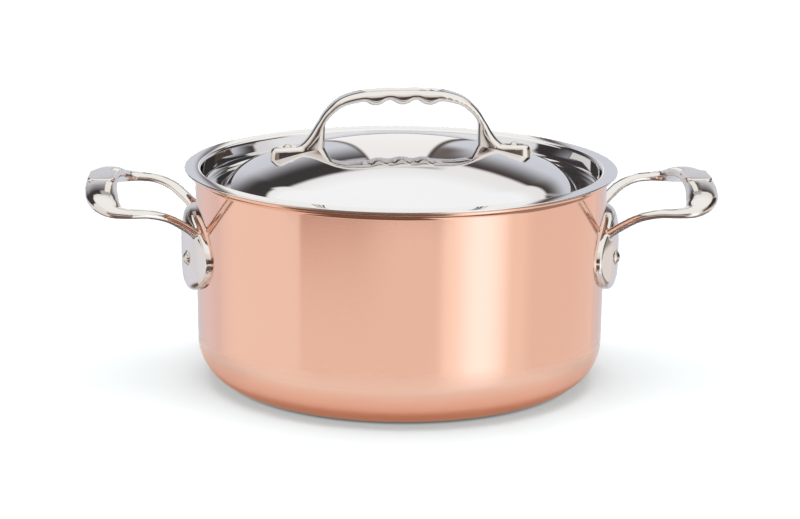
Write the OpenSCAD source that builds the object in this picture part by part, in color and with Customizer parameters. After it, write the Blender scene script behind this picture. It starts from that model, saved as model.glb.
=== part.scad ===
// Lidded copper cooking pot with two cast side handles and a cast arch on the lid.
// Millimetres, +Z up, origin at the centre of the base, side handles along X.

/* [Pot] */
// Inside diameter at the top of the wall
pot_inner_d = 240; // [200:1:280]
// Height from the base to the top of the pouring lip
pot_height = 127; // [110:1:160]
// Thickness of the copper
copper_t = 1.6; // [1.2:0.1:2.5]
// Thickness of the steel lining bonded to the copper
lining_t = 0.4; // [0.3:0.1:0.8]
// Outside radius of the corner between the base and the wall
corner_r = 25; // [15:1:32]
// How much the wall draws in, on the radius, from the lip down to the base
wall_draw = 1; // [0.5:0.1:3]
// Radius of the hollow under the pouring lip
lip_hollow_r = 3; // [2:0.5:5]
// Flat edge of the pouring lip, beyond its bend
lip_edge = 0.8; // [0.5:0.1:2]

/* [Lid] */
// Outside diameter of the flat flange
lid_d = 256.4; // [254:0.2:264]
// Thickness of the lid's sheet
lid_t = 1; // [0.8:0.1:1.5]
// Gap between the flange and the top of the lip
lid_seat_gap = 0.3; // [0.2:0.1:0.5]
// Gap all round between the sunk channel and the top of the pot's wall
lid_side_gap = 0.6; // [0.4:0.1:1.2]
// Depth of the channel's floor below the top of the flange
channel_depth = 13; // [9:0.5:16]
// Radius of the channel's outer corner
channel_r = 4; // [2:0.5:5]
// Radius of the hollow where the channel turns up into the dome
dome_foot_r = 4; // [2:0.5:6]
// Radius of the bend from the flange down into the channel, inside the bend
flange_bend_r = 1; // [0.6:0.1:2]
// Height of the dome above the top of the flange
dome_rise = 16.1; // [12:0.1:20]
// How far the dome's crown falls from its middle to its shoulder
crown_fall = 16.3; // [13:0.1:18]
// Width of the shoulder and the hollow below it, from the crown to the channel's floor
shoulder_w = 18.4; // [15:0.1:20]
// Flat width of the channel's floor, between its two bends
channel_floor_w = 6; // [2:0.5:10]

/* [Lid handle] */
// Turn of the lid on the pot, seen from above
lid_turn = 3.6; // [-180:0.1:180]
// Distance between the centre lines of the two legs, where they are narrowest
arch_span = 98; // [84:1:102]
// Height of the top of the grip above the top of the flange
arch_top = 46.2; // [42:0.1:60]
// Width of the grip, front to back
arch_grip_w = 16.5; // [12:0.5:22]
// Thickness of the grip between its finger bumps
arch_grip_t = 6.2; // [4:0.1:8]
// Width of each leg where it is narrowest, front to back
arch_leg_w = 11; // [8:0.5:14]
// Thickness of each leg where it is narrowest
arch_leg_t = 4; // [3.5:0.1:6]
// Length of each leg's root along its foot
arch_root_t = 13; // [8:0.5:15]
// How far each finger bump stands down from the grip
bump_drop = 3; // [1:0.5:4]
// Distance from one finger bump to the next
bump_pitch = 15.8; // [12:0.1:18]
// Distance between the outer ends of the two tongue feet
foot_reach = 155; // [146:1:165]
// How far each foot's inner end reaches in past the centre line of its leg
foot_heel = 2.5; // [0:0.1:6]
// Width of each tongue foot
foot_w = 14; // [12:0.5:16]
// Thickness of the foot at its rivet, above the dome
foot_t = 5; // [4:0.1:7]
// How far the foot's top falls along its length
foot_fall = 1.2; // [0:0.1:2]
// Radius of the rounded edge of the foot
foot_edge_r = 1.5; // [0.5:0.1:2]
// Distance from the foot's outer end to its rivet
foot_rivet_inset = 9.7; // [8:0.1:12]

/* [Side handles] */
// Height of the middle of the boss above the base
boss_height = 79.5; // [74:0.5:88]
// Width of the oval boss along the wall
boss_w = 96; // [84:1:104]
// Height of the oval boss
boss_h = 49; // [42:1:54]
// How far the boss stands out from the wall at its middle
boss_proud = 9; // [7:0.5:12]
// How far the boss stands out at its rim
boss_rim = 1.6; // [1:0.1:3]
// Reach of the loop from the wall to the outside of the grip
loop_reach = 64; // [55:0.5:80]
// Distance between the centre lines of the two arms, at their widest
loop_span = 107; // [96:1:116]
// Rise of the arms above the middle of the boss
arm_rise = 31; // [27:0.5:36]
// Further rise of the middle of the grip above the arms
grip_rise = 9; // [5:0.5:14]
// Width of each arm
arm_w = 8; // [6:0.5:11]
// Thickness of each arm
arm_t = 5; // [4:0.5:7]
// Width of the grip, along the reach
grip_w = 18.6; // [14:0.2:24]
// Thickness of the grip
grip_t = 6; // [5:0.5:8]
// Length of the flat pad on top of the grip, across the handle
pad_length = 28; // [20:1:34]
// Width of the pad, along the reach
pad_w = 16.4; // [11:0.2:22]
// Height of the pad's face above the middle of the grip
pad_rise = 0.4; // [0.2:0.1:1.5]
// Corner radius of the pad
pad_corner_r = 5; // [2:0.5:5]

/* [Rivets] */
// Diameter of the side handles' rivet shanks
rivet_d = 6; // [4:0.1:7]
// Diameter of the side handles' rivet heads, outside
rivet_head_d = 8.8; // [7.4:0.1:10]
// Height of the side handles' rivet heads, outside
rivet_head_h = 3; // [2:0.1:3.6]
// Diameter of the side handles' rivet heads, inside the pot
rivet_tail_d = 12; // [9:0.5:14]
// Height of the rivet heads inside the pot
rivet_tail_h = 1.4; // [1:0.1:2]
// Height of the side handles' rivets above the base
rivet_height = 78; // [74:0.5:84]
// Distance between the two rivets of one side handle, across the handle
rivet_span = 47; // [36:1:54]
// Diameter of the lid's rivet shanks
lid_rivet_d = 3.6; // [3:0.1:4.5]
// Diameter of the lid's rivet heads, above the foot
lid_rivet_head_d = 5.4; // [4.8:0.1:7]
// Height of the lid's rivet heads, above the foot
lid_rivet_head_h = 2.2; // [1.2:0.1:3]
// Diameter of the lid's rivet heads under the lid
lid_rivet_tail_d = 8; // [6:0.5:10]
// Height of the lid's rivet heads under the lid
lid_rivet_tail_h = 1.1; // [0.8:0.1:2]

/* [Hidden] */

// Clearance of a shank in its hole, on the radius
hole_gap = 0.05;
// Clearance under a rivet head
head_gap = 0.02;
// How far a cut runs past what it cuts
overrun = 1;

copper_colour = [0.86, 0.56, 0.42];
steel_colour = [0.78, 0.78, 0.79];
cast_colour = [0.74, 0.71, 0.67];

wall_t = copper_t + lining_t;
pot_r = pot_inner_d / 2 + wall_t;
lip_bend_z = pot_height - lip_hollow_r - wall_t;
draw_angle = atan(wall_draw / (lip_bend_z - corner_r));
out_dir = [cos(draw_angle), -sin(draw_angle)];
corner_at = [pot_r - wall_draw - corner_r * out_dir[0], corner_r];
lip_bend_at = [pot_r, lip_bend_z] + lip_hollow_r * [out_dir[0], 0];

flange_top = pot_height + lid_seat_gap + lid_t;
channel_wall_r = pot_inner_d / 2 - lid_side_gap - lid_t;
channel_z = flange_top - channel_depth;
dome_foot_at = [channel_wall_r - channel_r - channel_floor_w, channel_z + dome_foot_r];

// The crown's arc passes through the dome's top and the start of the shoulder
crown_edge = [dome_foot_at[0] - shoulder_w, flange_top + dome_rise - crown_fall];
dome_r = (crown_edge[0] * crown_edge[0] + crown_fall * crown_fall) / (2 * crown_fall);
dome_centre_z = flange_top + dome_rise - dome_r;
shoulder_angle = asin(crown_edge[0] / dome_r);

// The shoulder's arc touches the crown at its edge, and the hollow above the channel's floor
crown_normal = [sin(shoulder_angle), cos(shoulder_angle)];
hollow_to_edge = crown_edge - dome_foot_at;
shoulder_r = (hollow_to_edge * hollow_to_edge - dome_foot_r * dome_foot_r)
    / (2 * (dome_foot_r + hollow_to_edge * crown_normal));
shoulder_at = crown_edge - shoulder_r * crown_normal;
dome_foot_angle = acos((dome_foot_at[1] - shoulder_at[1]) / (shoulder_r + dome_foot_r));

// Number of facets on a turned piece
round_fn = 144;

// General curve helpers

// Point at share t of one span of a smooth curve through b and c, with neighbours a and d
function span_point(a, b, c, d, t) =
    (2 * b + (c - a) * t + (2 * a - 5 * b + 4 * c - d) * t * t + (3 * b - a - 3 * c + d) * t * t * t) / 2;

// A smooth curve through the points, with steps places on each span
function smooth_curve(points, steps) =
    let (last = len(points) - 1)
    concat(
        [for (i = [0 : last - 1], k = [0 : steps - 1])
            span_point(points[max(i - 1, 0)], points[i], points[i + 1], points[min(i + 2, last)], k / steps)],
        [points[last]]);

function unit(v) = v / norm(v);

// The first three entries of a row, as a place
function place(row) = [row[0], row[1], row[2]];

// Direction of travel along a curve of rows at entry i
function travel(rows, i) = unit(place(rows[min(i + 1, len(rows) - 1)]) - place(rows[max(i - 1, 0)]));

// Outline of a rounded bar: share 1 is the half width and the half thickness
function bar_shares(sides, squareness) =
    [for (j = [0 : sides - 1])
        let (a = 360 * (j + 0.5) / sides, c = cos(a), s = sin(a))
        [sign(c) * pow(abs(c), 2 / squareness), sign(s) * pow(abs(s), 2 / squareness)]];

// Triangles of a closed tube of rings, with a flat cap at both ends
function tube_faces(rings, sides) = concat(
    [[for (j = [0 : sides - 1]) j]],
    [for (i = [0 : rings - 2], j = [0 : sides - 1], half = [0, 1])
        let (k = (j + 1) % sides, a = i * sides)
        half == 0 ? [a + j, a + sides + j, a + sides + k] : [a + j, a + sides + k, a + k]],
    [[for (j = [sides - 1 : -1 : 0]) (rings - 1) * sides + j]]);

// A bar along rows of [x, y, z, size across, size towards up]
module swept_bar(rows, sides, squareness, up) {
    outline = bar_shares(sides, squareness);
    points = [for (i = [0 : len(rows) - 1])
        let (t = travel(rows, i), side = unit(cross(up, t)), top = cross(t, side))
        for (p = outline) place(rows[i]) + side * p[0] * rows[i][3] / 2 + top * p[1] * rows[i][4] / 2];
    polyhedron(points = points, faces = tube_faces(len(rows), sides), convexity = 4);
}

// Largest gap between an arc and the facets that stand for it
arc_gap = 0.02;

// Points along an arc, from one angle to another
function arc(centre, r, from_a, to_a) =
    let (steps = ceil(abs(to_a - from_a) / (2 * acos(1 - arc_gap / r))))
    [for (i = [0 : steps]) let (a = from_a + (to_a - from_a) * i / steps) centre + r * [cos(a), sin(a)]];

function reversed(list) = [for (i = [len(list) - 1 : -1 : 0]) list[i]];

// Half section of the pot's sheet at a depth from its outer surface, from the axis to the lip
function pot_surface(depth) = concat(
    [[0, depth]],
    arc(corner_at, corner_r - depth, -90, -draw_angle),
    arc(lip_bend_at, lip_hollow_r + depth, 180 - draw_angle, 90),
    [lip_bend_at + [lip_edge, lip_hollow_r + depth]]);

// One layer of the pot's sheet, between two depths from its outer surface
module pot_layer(depth, layer_t) {
    rotate_extrude($fn = round_fn)
        polygon(concat(pot_surface(depth), reversed(pot_surface(depth + layer_t))));
}

module copper_shell() {
    color(copper_colour) difference() {
        pot_layer(0, copper_t);
        rivet_holes(0);
        rivet_holes(180);
    }
}

module steel_lining() {
    color(steel_colour) difference() {
        pot_layer(copper_t, lining_t);
        rivet_holes(0);
        rivet_holes(180);
    }
}

// The space inside the pot's outer surface, which the handles are shaped to
module pot_outer_form() {
    wall_foot = corner_at + corner_r * out_dir;
    rotate_extrude($fn = round_fn)
        polygon([[0, corner_r], wall_foot, [pot_r, lip_bend_z], [0, lip_bend_z]]);
}

// Angle of a rivet round the pot from the handle's own axis
rivet_turn = asin(rivet_span / 2 / pot_r);
boss_wall_r = pot_r - wall_draw * (lip_bend_z - boss_height) / (lip_bend_z - corner_r);
// Outside face of the boss: an upright cylinder, tighter than the wall
boss_half = boss_w / 2;
boss_rim_x = sqrt(boss_wall_r * boss_wall_r - boss_half * boss_half) + boss_rim;
boss_bulge = boss_wall_r + boss_proud - boss_rim_x;
boss_face_r = (boss_half * boss_half + boss_bulge * boss_bulge) / (2 * boss_bulge);
boss_face_x = boss_wall_r + boss_proud - boss_face_r;
// Depth of the flat seat cut into the boss under a rivet head
rivet_seat_depth = 0.8;
// Distance from the pot's axis at which a rivet head sits on the boss
rivet_seat_r = boss_face_x * cos(rivet_turn)
    + sqrt(boss_face_r * boss_face_r - pow(boss_face_x * sin(rivet_turn), 2)) - rivet_seat_depth;
rivet_tail_r = sqrt(pow(boss_wall_r - wall_t, 2) - pow(rivet_tail_d / 2, 2)) - wall_draw * rivet_tail_d
    / (lip_bend_z - corner_r);

module at_rivet(turn, side) {
    rotate(turn + side * rivet_turn) translate([0, 0, rivet_height]) rotate([0, 90, 0]) children();
}

module rivet_holes(turn) {
    for (side = [-1, 1]) at_rivet(turn, side)
        translate([0, 0, rivet_tail_r - overrun])
            cylinder(r = rivet_d / 2 + hole_gap, h = rivet_seat_r - rivet_tail_r + 2 * overrun, $fn = 48);
}

module rivet_seats() {
    for (side = [-1, 1]) at_rivet(0, side)
        translate([0, 0, rivet_seat_r])
            cylinder(r = rivet_head_d / 2 + hole_gap, h = boss_proud + overrun, $fn = 48);
}

// A rivet along +Z: a domed head on the seat, a shank, and a low tail head at the far end
module rivet(seat, tail, shank_r, head_r, head_h, tail_r, tail_h) {
    head_curve = (head_r * head_r + head_h * head_h) / (2 * head_h);
    tail_curve = (tail_r * tail_r + tail_h * tail_h) / (2 * tail_h);
    rotate_extrude($fn = 48) {
        translate([0, tail]) square([shank_r, seat - tail]);
        intersection() {
            translate([0, seat + head_h - head_curve]) circle(r = head_curve, $fn = 96);
            translate([0, seat + head_gap]) square([head_r, head_h]);
        }
        intersection() {
            translate([0, tail - tail_h + tail_curve]) circle(r = tail_curve, $fn = 96);
            translate([0, tail - head_gap - tail_h]) square([tail_r, tail_h]);
        }
        translate([0, seat - overrun]) square([shank_r, overrun + head_gap + head_h / 2]);
        translate([0, tail - head_gap - tail_h / 2]) square([shank_r, overrun]);
    }
}

module side_rivet(turn, side) {
    color(cast_colour) at_rivet(turn, side)
        rivet(rivet_seat_r, rivet_tail_r, rivet_d / 2, rivet_head_d / 2, rivet_head_h,
              rivet_tail_d / 2, rivet_tail_h);
}

module left_front_rivet() { side_rivet(180, 1); }
module left_back_rivet() { side_rivet(180, -1); }
module right_front_rivet() { side_rivet(0, -1); }
module right_back_rivet() { side_rivet(0, 1); }

// Rings of the boss, as shares of its half width and half height, from its rim to near its middle
boss_ring_shares = [1, 0.985, 0.955, 0.91, 0.85, 0.76, 0.64, 0.48, 0.28, 0.1];
// How square the boss's rim is: higher keeps the face full nearer to the rim
boss_fullness = 8;
boss_sides = 48;

// A place on the boss's face, at a share of its outline and an angle round it
function boss_point(share, a) =
    let (v = boss_half * share * cos(a),
         face_x = boss_face_x + sqrt(boss_face_r * boss_face_r - v * v),
         rim_x = sqrt(boss_wall_r * boss_wall_r - v * v) + boss_rim,
         full = sqrt(1 - pow(share, boss_fullness)))
    [rim_x + (face_x - rim_x) * full, v, boss_height + boss_h / 2 * share * sin(a)];

// The boss runs back into the wall's space, which is then cut from it
module boss() {
    rings = len(boss_ring_shares);
    back_x = boss_wall_r - 2 * boss_bulge;
    points = concat(
        [for (j = [0 : boss_sides - 1]) let (p = boss_point(1, 360 * j / boss_sides)) [back_x, p[1], p[2]]],
        [for (s = boss_ring_shares, j = [0 : boss_sides - 1]) boss_point(s, 360 * j / boss_sides)]);
    polyhedron(points = points, faces = tube_faces(rings + 1, boss_sides), convexity = 4);
}

// Half of the loop, from inside the boss to the middle of the grip. Each row holds shares:
// reach, half span, arm rise, grip rise, and how far the section has turned from arm to grip
loop_shares = [
    [-0.26, 0.46, 0.08, 0, 0.3],
    [-0.12, 0.54, 0.29, 0, 0.2],
    [0, 0.63, 0.49, 0, 0.1],
    [0.145, 0.745, 0.71, 0, 0],
    [0.29, 0.86, 0.88, 0, 0],
    [0.47, 0.95, 0.98, 0, 0.02],
    [0.66, 0.995, 1.00, 0, 0.15],
    [0.81, 0.96, 1.00, 0.02, 0.45],
    [0.905, 0.84, 1.00, 0.14, 0.75],
    [0.96, 0.66, 1.00, 0.38, 1],
    [0.99, 0.42, 1.00, 0.72, 1],
    [1, 0.19, 1.00, 0.95, 1],
    [1, 0, 1.00, 1, 1]
];

function loop_row(shares, side) = [
    pot_r + (loop_reach - grip_w / 2) * shares[0],
    side * loop_span / 2 * shares[1],
    boss_height + arm_rise * shares[2] + grip_rise * shares[3],
    arm_w + (grip_w - arm_w) * shares[4],
    arm_t + (grip_t - arm_t) * shares[4]];

loop_rows = smooth_curve(concat(
    [for (s = loop_shares) loop_row(s, -1)],
    [for (i = [len(loop_shares) - 2 : -1 : 0]) loop_row(loop_shares[i], 1)]), 3);

// The level pad on the arched grip: flush in the middle, and proud of the grip at its ends
module grip_pad() {
    pad_top_z = boss_height + arm_rise + grip_rise + grip_t / 2 + pad_rise;
    translate([pot_r + loop_reach - grip_w / 2, 0, pad_top_z - grip_t / 2])
        linear_extrude(height = grip_t / 2)
            hull()
                for (x = [-1, 1], y = [-1, 1])
                    translate([x * (pad_w / 2 - pad_corner_r), y * (pad_length / 2 - pad_corner_r)])
                        circle(r = pad_corner_r, $fn = 32);
}

module side_handle() {
    color(cast_colour) difference() {
        union() {
            boss();
            swept_bar(loop_rows, 16, 2.8, [0, 0, 1]);
            grip_pad();
        }
        pot_outer_form();
        rivet_holes(0);
        rivet_seats();
    }
}

module left_side_handle() { rotate(180) side_handle(); }
module right_side_handle() { side_handle(); }

// Half section of the lid's sheet at a depth from its upper surface, from the axis to the rim
function lid_surface(depth) = concat(
    arc([0, dome_centre_z], dome_r - depth, 90, 90 - shoulder_angle),
    arc(shoulder_at, shoulder_r - depth, 90 - shoulder_angle, 90 - dome_foot_angle),
    arc(dome_foot_at, dome_foot_r + depth, 270 - dome_foot_angle, 270),
    arc([channel_wall_r - channel_r, channel_z + channel_r], channel_r + depth, 270, 360),
    arc([channel_wall_r + lid_t + flange_bend_r, flange_top - lid_t - flange_bend_r],
        flange_bend_r + lid_t - depth, 180, 90));

// The sheet from above and from below, joined by the round edge of its rim
lid_section = concat(
    lid_surface(0),
    arc([lid_d / 2 - lid_t / 2, flange_top - lid_t / 2], lid_t / 2, 90, -90),
    reversed(lid_surface(lid_t)));

foot_length = foot_reach / 2 - arch_span / 2 + foot_heel;
foot_rivet_x = foot_reach / 2 - foot_rivet_inset;

// Height of the foot's top at a distance from the lid's axis
dome_z_at_rivet = dome_centre_z + sqrt(dome_r * dome_r - foot_rivet_x * foot_rivet_x);
function foot_top_z(x) = dome_z_at_rivet + foot_t - foot_fall * (x - foot_rivet_x) / foot_length;

// The rivet is square to the dome, so its seat is cut level into the foot's nearly flat top
foot_rivet_at = [foot_rivet_x, foot_top_z(foot_rivet_x) - dome_centre_z];
foot_rivet_tilt = atan(foot_rivet_at[0] / foot_rivet_at[1]);
foot_seat_d = lid_rivet_head_d + 2 * hole_gap;
foot_seat_r = norm(foot_rivet_at) - foot_seat_d / 2 * tan(foot_rivet_tilt - atan(foot_fall / foot_length));
lid_tail_r = sqrt(pow(dome_r - lid_t, 2) - pow(lid_rivet_tail_d / 2, 2));

module at_foot_rivet(side) {
    rotate(lid_turn) translate([0, 0, dome_centre_z]) rotate([0, side * foot_rivet_tilt, 0]) children();
}

module foot_rivet_hole(side) {
    at_foot_rivet(side) translate([0, 0, lid_tail_r - overrun])
        cylinder(r = lid_rivet_d / 2 + hole_gap, h = foot_seat_r - lid_tail_r + 2 * overrun, $fn = 32);
}

module foot_rivet_seat(side) {
    at_foot_rivet(side) translate([0, 0, foot_seat_r])
        cylinder(d = foot_seat_d, h = lid_rivet_head_h + overrun, $fn = 32);
}

module foot_rivet(side) {
    color(cast_colour) at_foot_rivet(side)
        rivet(foot_seat_r, lid_tail_r, lid_rivet_d / 2, lid_rivet_head_d / 2, lid_rivet_head_h,
              lid_rivet_tail_d / 2, lid_rivet_tail_h);
}

module lid_disc() {
    color(steel_colour) difference() {
        rotate_extrude($fn = round_fn) polygon(lid_section);
        foot_rivet_hole(-1);
        foot_rivet_hole(1);
    }
}

// A round button with a rounded edge, from the channel's depth up to the foot's top
module foot_end(centre_x) {
    end_r = foot_w / 2;
    end_h = foot_top_z(centre_x) - channel_z;
    translate([centre_x, 0, channel_z]) rotate_extrude($fn = 28) {
        square([end_r - foot_edge_r, end_h]);
        square([end_r, end_h - foot_edge_r]);
        translate([end_r - foot_edge_r, end_h - foot_edge_r]) circle(r = foot_edge_r, $fn = 20);
    }
}

// The tongue foot, with a nearly flat top. The dome is cut from its underside
module foot() {
    outer_x = foot_reach / 2 - foot_w / 2;
    hull() {
        foot_end(outer_x);
        foot_end(outer_x - foot_length + foot_w);
    }
}

// Half of the arch, from inside the foot to the middle of the grip. Each row holds shares:
// half span, height from the dome's crown up to the middle of the grip's section,
// how far the section has grown from leg to grip, and from leg to root
arch_shares = [
    [1.105, -0.50, 0, 1],
    [1.10, -0.22, 0, 1],
    [1.05, -0.08, 0, 0.45],
    [1.012, 0.07, 0, 0.12],
    [1, 0.22, 0, 0],
    [0.955, 0.45, 0.12, 0],
    [0.872, 0.645, 0.35, 0],
    [0.76, 0.81, 0.6, 0],
    [0.615, 0.912, 0.85, 0],
    [0.43, 0.972, 1, 0],
    [0.21, 0.995, 1, 0],
    [0, 1, 1, 0]
];

arch_rise = arch_top - dome_rise - arch_grip_t / 2;
bumps = 3;
// How much narrower a bump is than the groove beside it
bump_share = 1.3;

// How far the underside of the grip stands down, at a distance from its middle
function bump_at(x) = abs(x) > bumps * bump_pitch / 2 ? 0
    : bump_drop * pow((1 + cos(360 * x / bump_pitch)) / 2, bump_share);

function arch_row(shares, side) = [
    side * arch_span / 2 * shares[0],
    0,
    flange_top + dome_rise + arch_rise * shares[1],
    arch_leg_t + (arch_grip_t - arch_leg_t) * shares[2] + (arch_root_t - arch_leg_t) * shares[3],
    arch_leg_w + (arch_grip_w - arch_leg_w) * shares[2] + (foot_w - arch_leg_w) * shares[3]];

arch_rows = [for (row = smooth_curve(concat(
    [for (s = arch_shares) arch_row(s, -1)],
    [for (i = [len(arch_shares) - 2 : -1 : 0]) arch_row(arch_shares[i], 1)]), 4))
    let (bump = bump_at(row[0]))
    row + [0, 0, -bump / 2, bump, 0]];

module lid_handle() {
    color(cast_colour) difference() {
        rotate(lid_turn) {
            swept_bar(arch_rows, 16, 3.4, [0, 1, 0]);
            foot();
            rotate(180) foot();
        }
        translate([0, 0, dome_centre_z]) sphere(r = dome_r, $fn = 180);
        for (side = [-1, 1]) {
            foot_rivet_hole(side);
            foot_rivet_seat(side);
        }
    }
}

module lid_left_rivet() { foot_rivet(-1); }
module lid_right_rivet() { foot_rivet(1); }

copper_shell();
steel_lining();
left_side_handle();
right_side_handle();
left_front_rivet();
left_back_rivet();
right_front_rivet();
right_back_rivet();
lid_disc();
lid_handle();
lid_left_rivet();
lid_right_rivet();
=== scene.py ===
"""Looks of a lidded copper cooking pot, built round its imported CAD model. Metres, in the CAD frame."""
import math

import bmesh
import bpy
from mathutils import Matrix, Vector


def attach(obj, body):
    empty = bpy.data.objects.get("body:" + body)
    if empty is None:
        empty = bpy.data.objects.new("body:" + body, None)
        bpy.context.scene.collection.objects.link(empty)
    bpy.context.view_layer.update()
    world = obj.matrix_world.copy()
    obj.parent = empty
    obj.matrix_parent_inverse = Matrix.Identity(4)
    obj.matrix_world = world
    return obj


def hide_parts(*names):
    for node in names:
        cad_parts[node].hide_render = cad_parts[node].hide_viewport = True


MM = 0.001
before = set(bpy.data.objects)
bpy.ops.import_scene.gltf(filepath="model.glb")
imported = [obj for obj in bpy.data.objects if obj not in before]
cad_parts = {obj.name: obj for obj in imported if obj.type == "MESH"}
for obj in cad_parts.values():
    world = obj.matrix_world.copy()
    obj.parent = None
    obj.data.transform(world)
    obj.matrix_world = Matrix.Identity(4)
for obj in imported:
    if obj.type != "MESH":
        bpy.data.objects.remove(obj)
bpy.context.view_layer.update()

# Camera, for a picture of 800 x 519 pixels. Distances are in metres and angles in radians

IMAGE_WIDTH_PX = 800
FOCAL_PX = 2481.6
SENSOR_WIDTH = 36.0
CAMERA_DISTANCE = 1.4871
CAMERA_PITCH = 0.2379
CAMERA_TURN = math.radians(3.0)
CAMERA_ROLL = 0.0105
AIM_SIDE = -0.00016
AIM_HEIGHT = 0.0707


def make_camera():
    """The photograph's view: from the front, a little above, with the left handle slightly nearer."""
    sin_turn, cos_turn = math.sin(CAMERA_TURN), math.cos(CAMERA_TURN)
    level = Vector((cos_turn, -sin_turn, 0))
    ahead = Vector((sin_turn * math.cos(CAMERA_PITCH), cos_turn * math.cos(CAMERA_PITCH),
                    -math.sin(CAMERA_PITCH)))
    upright = level.cross(ahead)
    right = math.cos(CAMERA_ROLL) * level + math.sin(CAMERA_ROLL) * upright
    up = math.cos(CAMERA_ROLL) * upright - math.sin(CAMERA_ROLL) * level
    data = bpy.data.cameras.new("camera")
    data.sensor_width = SENSOR_WIDTH
    data.lens = FOCAL_PX / IMAGE_WIDTH_PX * SENSOR_WIDTH
    camera = bpy.data.objects.new("camera", data)
    aim = AIM_SIDE * level + Vector((0, 0, AIM_HEIGHT))
    turn = Matrix((right, up, -ahead)).transposed().to_4x4()
    camera.matrix_world = Matrix.Translation(aim - CAMERA_DISTANCE * ahead) @ turn
    bpy.context.scene.collection.objects.link(camera)
    bpy.context.scene.camera = camera


# Sections of the turned pieces, in millimetres from the axis and up from the base

# Pot: its wall, which leans in by the draw towards the base, and its flared lip
POT_R = 122.0
POT_HEIGHT = 127.0
COPPER_T = 1.6
LINING_T = 0.4
CORNER_R = 25.0
WALL_DRAW = 1.0
LIP_HOLLOW_R = 3.0
LIP_EDGE = 0.8
LIP_ROUND_R = 0.35

# Lid: its flange on the lip, the sunk channel, and the dome with its falling shoulder
LID_R = 128.2
LID_T = 1.0
LID_SEAT_GAP = 0.3
CHANNEL_WALL_R = 118.4
CHANNEL_DEPTH = 13.0
CHANNEL_R = 4.0
DOME_FOOT_R = 4.0
FLANGE_BEND_R = 1.0
CHANNEL_FLOOR_W = 6.0
DOME_RISE = 16.1
CROWN_FALL = 16.3
SHOULDER_W = 18.4

# Places that follow from these sizes
SHEET_T = COPPER_T + LINING_T
LIP_BEND_Z = POT_HEIGHT - LIP_HOLLOW_R - SHEET_T
WALL_SLOPE = WALL_DRAW / (LIP_BEND_Z - CORNER_R)
FLANGE_TOP = POT_HEIGHT + LID_SEAT_GAP + LID_T
CHANNEL_Z = FLANGE_TOP - CHANNEL_DEPTH
DOME_TOP = FLANGE_TOP + DOME_RISE
HOLLOW_AT = (CHANNEL_WALL_R - CHANNEL_R - CHANNEL_FLOOR_W, CHANNEL_Z + DOME_FOOT_R)
CROWN_EDGE = (HOLLOW_AT[0] - SHOULDER_W, DOME_TOP - CROWN_FALL)
DOME_R = (CROWN_EDGE[0] ** 2 + CROWN_FALL ** 2) / (2 * CROWN_FALL)
DOME_Z = DOME_TOP - DOME_R
ARC_STEP = 2.5


def arc(centre, r, from_a, to_a):
    """Points along an arc in a section, from one angle to another in degrees."""
    steps = max(3, math.ceil(abs(to_a - from_a) / ARC_STEP))
    angles = [math.radians(from_a + (to_a - from_a) * i / steps) for i in range(steps + 1)]
    return [(centre[0] + r * math.cos(a), centre[1] + r * math.sin(a)) for a in angles]


def pot_surface(depth):
    """The pot's sheet at a depth from its outer surface, from the axis to the lip."""
    draw = math.degrees(math.atan(WALL_SLOPE))
    out = (math.cos(math.radians(draw)), -math.sin(math.radians(draw)))
    corner = (POT_R - WALL_DRAW - CORNER_R * out[0], CORNER_R)
    lip = (POT_R + LIP_HOLLOW_R * out[0], LIP_BEND_Z)
    return ([(0, depth)]
            + arc(corner, CORNER_R - depth, -90, -draw)
            + arc(lip, LIP_HOLLOW_R + depth, 180 - draw, 90)
            + [(lip[0] + LIP_EDGE - LIP_ROUND_R, LIP_BEND_Z + LIP_HOLLOW_R + depth)])


def pot_layer(depth, layer_t):
    """Closed section of one layer of the pot's sheet, with a rounded edge at the lip."""
    outer, inner = pot_surface(depth), pot_surface(depth + layer_t)
    round_r = min(LIP_ROUND_R, layer_t / 2)
    edge_r = outer[-1][0] + LIP_ROUND_R - round_r
    edge = (arc((edge_r, outer[-1][1] + round_r), round_r, -90, 0)
            + arc((edge_r, inner[-1][1] - round_r), round_r, 0, 90))
    return outer + edge + inner[::-1]


def lid_surface(depth):
    """The lid's sheet at a depth from its upper surface, from the axis to the rim."""
    start = math.asin(CROWN_EDGE[0] / DOME_R)
    edge_normal = Vector((math.sin(start), math.cos(start)))
    from_hollow = Vector(CROWN_EDGE) - Vector(HOLLOW_AT)
    shoulder_r = ((from_hollow.length_squared - DOME_FOOT_R ** 2)
                  / (2 * (DOME_FOOT_R + from_hollow.dot(edge_normal))))
    shoulder = Vector(CROWN_EDGE) - shoulder_r * edge_normal
    end = math.degrees(math.acos((HOLLOW_AT[1] - shoulder[1]) / (shoulder_r + DOME_FOOT_R)))
    start = math.degrees(start)
    return (arc((0, DOME_Z), DOME_R - depth, 90, 90 - start)
            + arc(shoulder, shoulder_r - depth, 90 - start, 90 - end)
            + arc(HOLLOW_AT, DOME_FOOT_R + depth, 270 - end, 270)
            + arc((CHANNEL_WALL_R - CHANNEL_R, CHANNEL_Z + CHANNEL_R), CHANNEL_R + depth, 270, 360)
            + arc((CHANNEL_WALL_R + LID_T + FLANGE_BEND_R, FLANGE_TOP - LID_T - FLANGE_BEND_R),
                  FLANGE_BEND_R + LID_T - depth, 180, 90))


def lid_section():
    """Closed section of the lid, with its rim rolled round."""
    rim = arc((LID_R - LID_T / 2, FLANGE_TOP - LID_T / 2), LID_T / 2, 90, -90)
    return lid_surface(0) + rim + lid_surface(LID_T)[::-1]


# Curves, bars and other solids in millimetres, each as a list of points and a list of faces

BAR_SIDES = 48
BAR_STEPS = 10
TURNED_SIDES = 256
CORNER_STEPS = 12
EDGE_STEPS = 5
ON_AXIS = 1e-4
SAME_PLACE = 1e-3


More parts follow.
